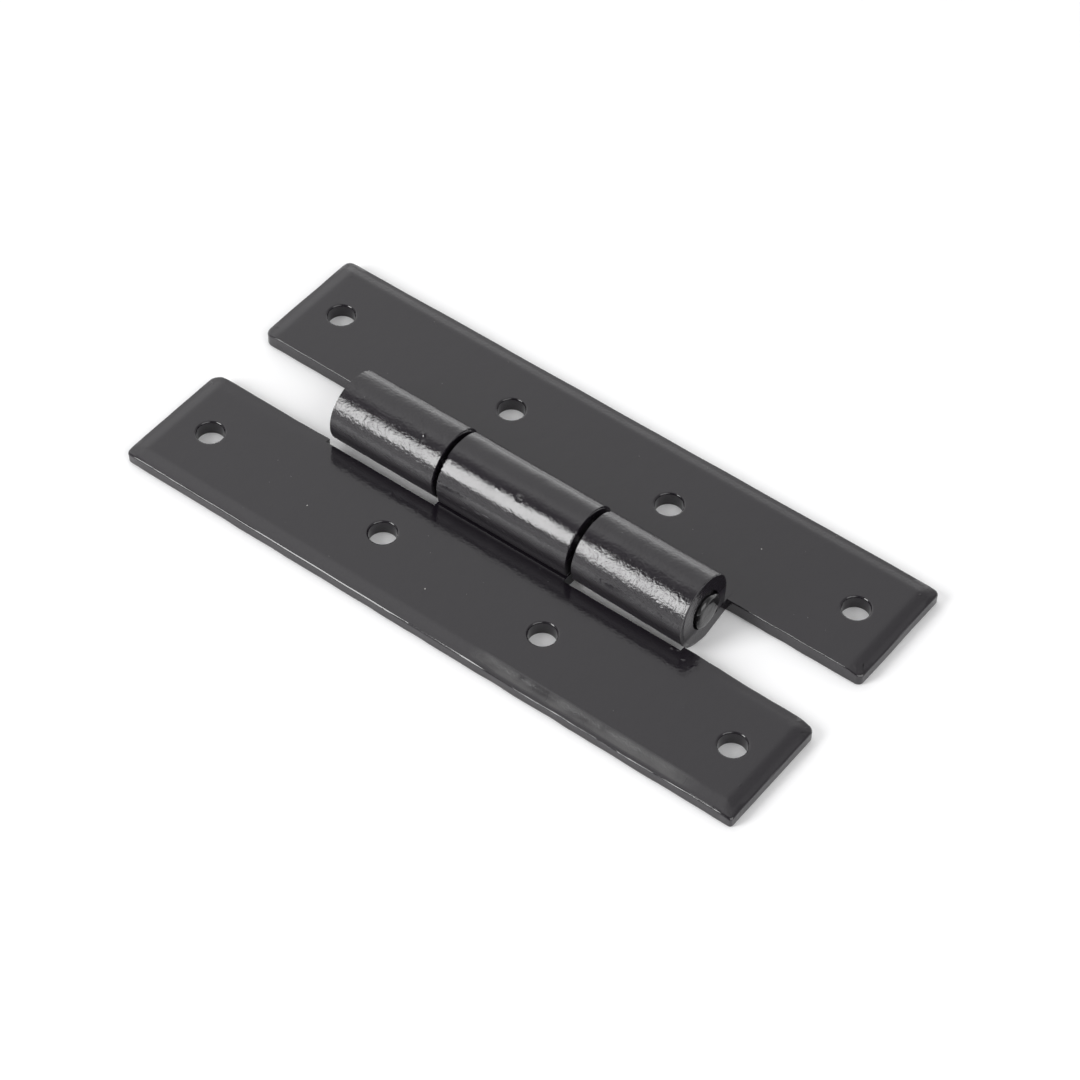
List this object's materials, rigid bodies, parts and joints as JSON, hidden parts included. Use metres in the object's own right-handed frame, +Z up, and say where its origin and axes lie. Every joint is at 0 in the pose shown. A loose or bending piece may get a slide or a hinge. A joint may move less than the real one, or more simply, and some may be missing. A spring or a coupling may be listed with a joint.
{
  "type": "hinge",
  "caption": "Black-painted steel butt hinge with long plain-holed leaves rolled round a fixed pin, lying open and flat.",
  "frame": {"origin": "middle of the open hinge on its underside, where it rests", "axes": "+X along the pin and the leaves' length, +Y towards the leaf with two knuckles, +Z up out of the plates' outer faces"},
  "size_m": [0.1024, 0.0482, 0.0104],
  "materials": {
    "leaf_paint": "gloss",
    "pin_paint": "gloss"
  },
  "bodies": {
    "far": {"far_leaf": "leaf_paint", "hinge_pin": "pin_paint"},
    "near": {"near_leaf": "leaf_paint"}
  },
  "joints": [
    {"name": "leaf_swing", "type": "hinge", "parent": "far", "child": "near", "pos_m": [0, -0.0003, 0.0052], "axis": [-1, 0, 0], "range_deg": [-90, 190]}
  ]
}
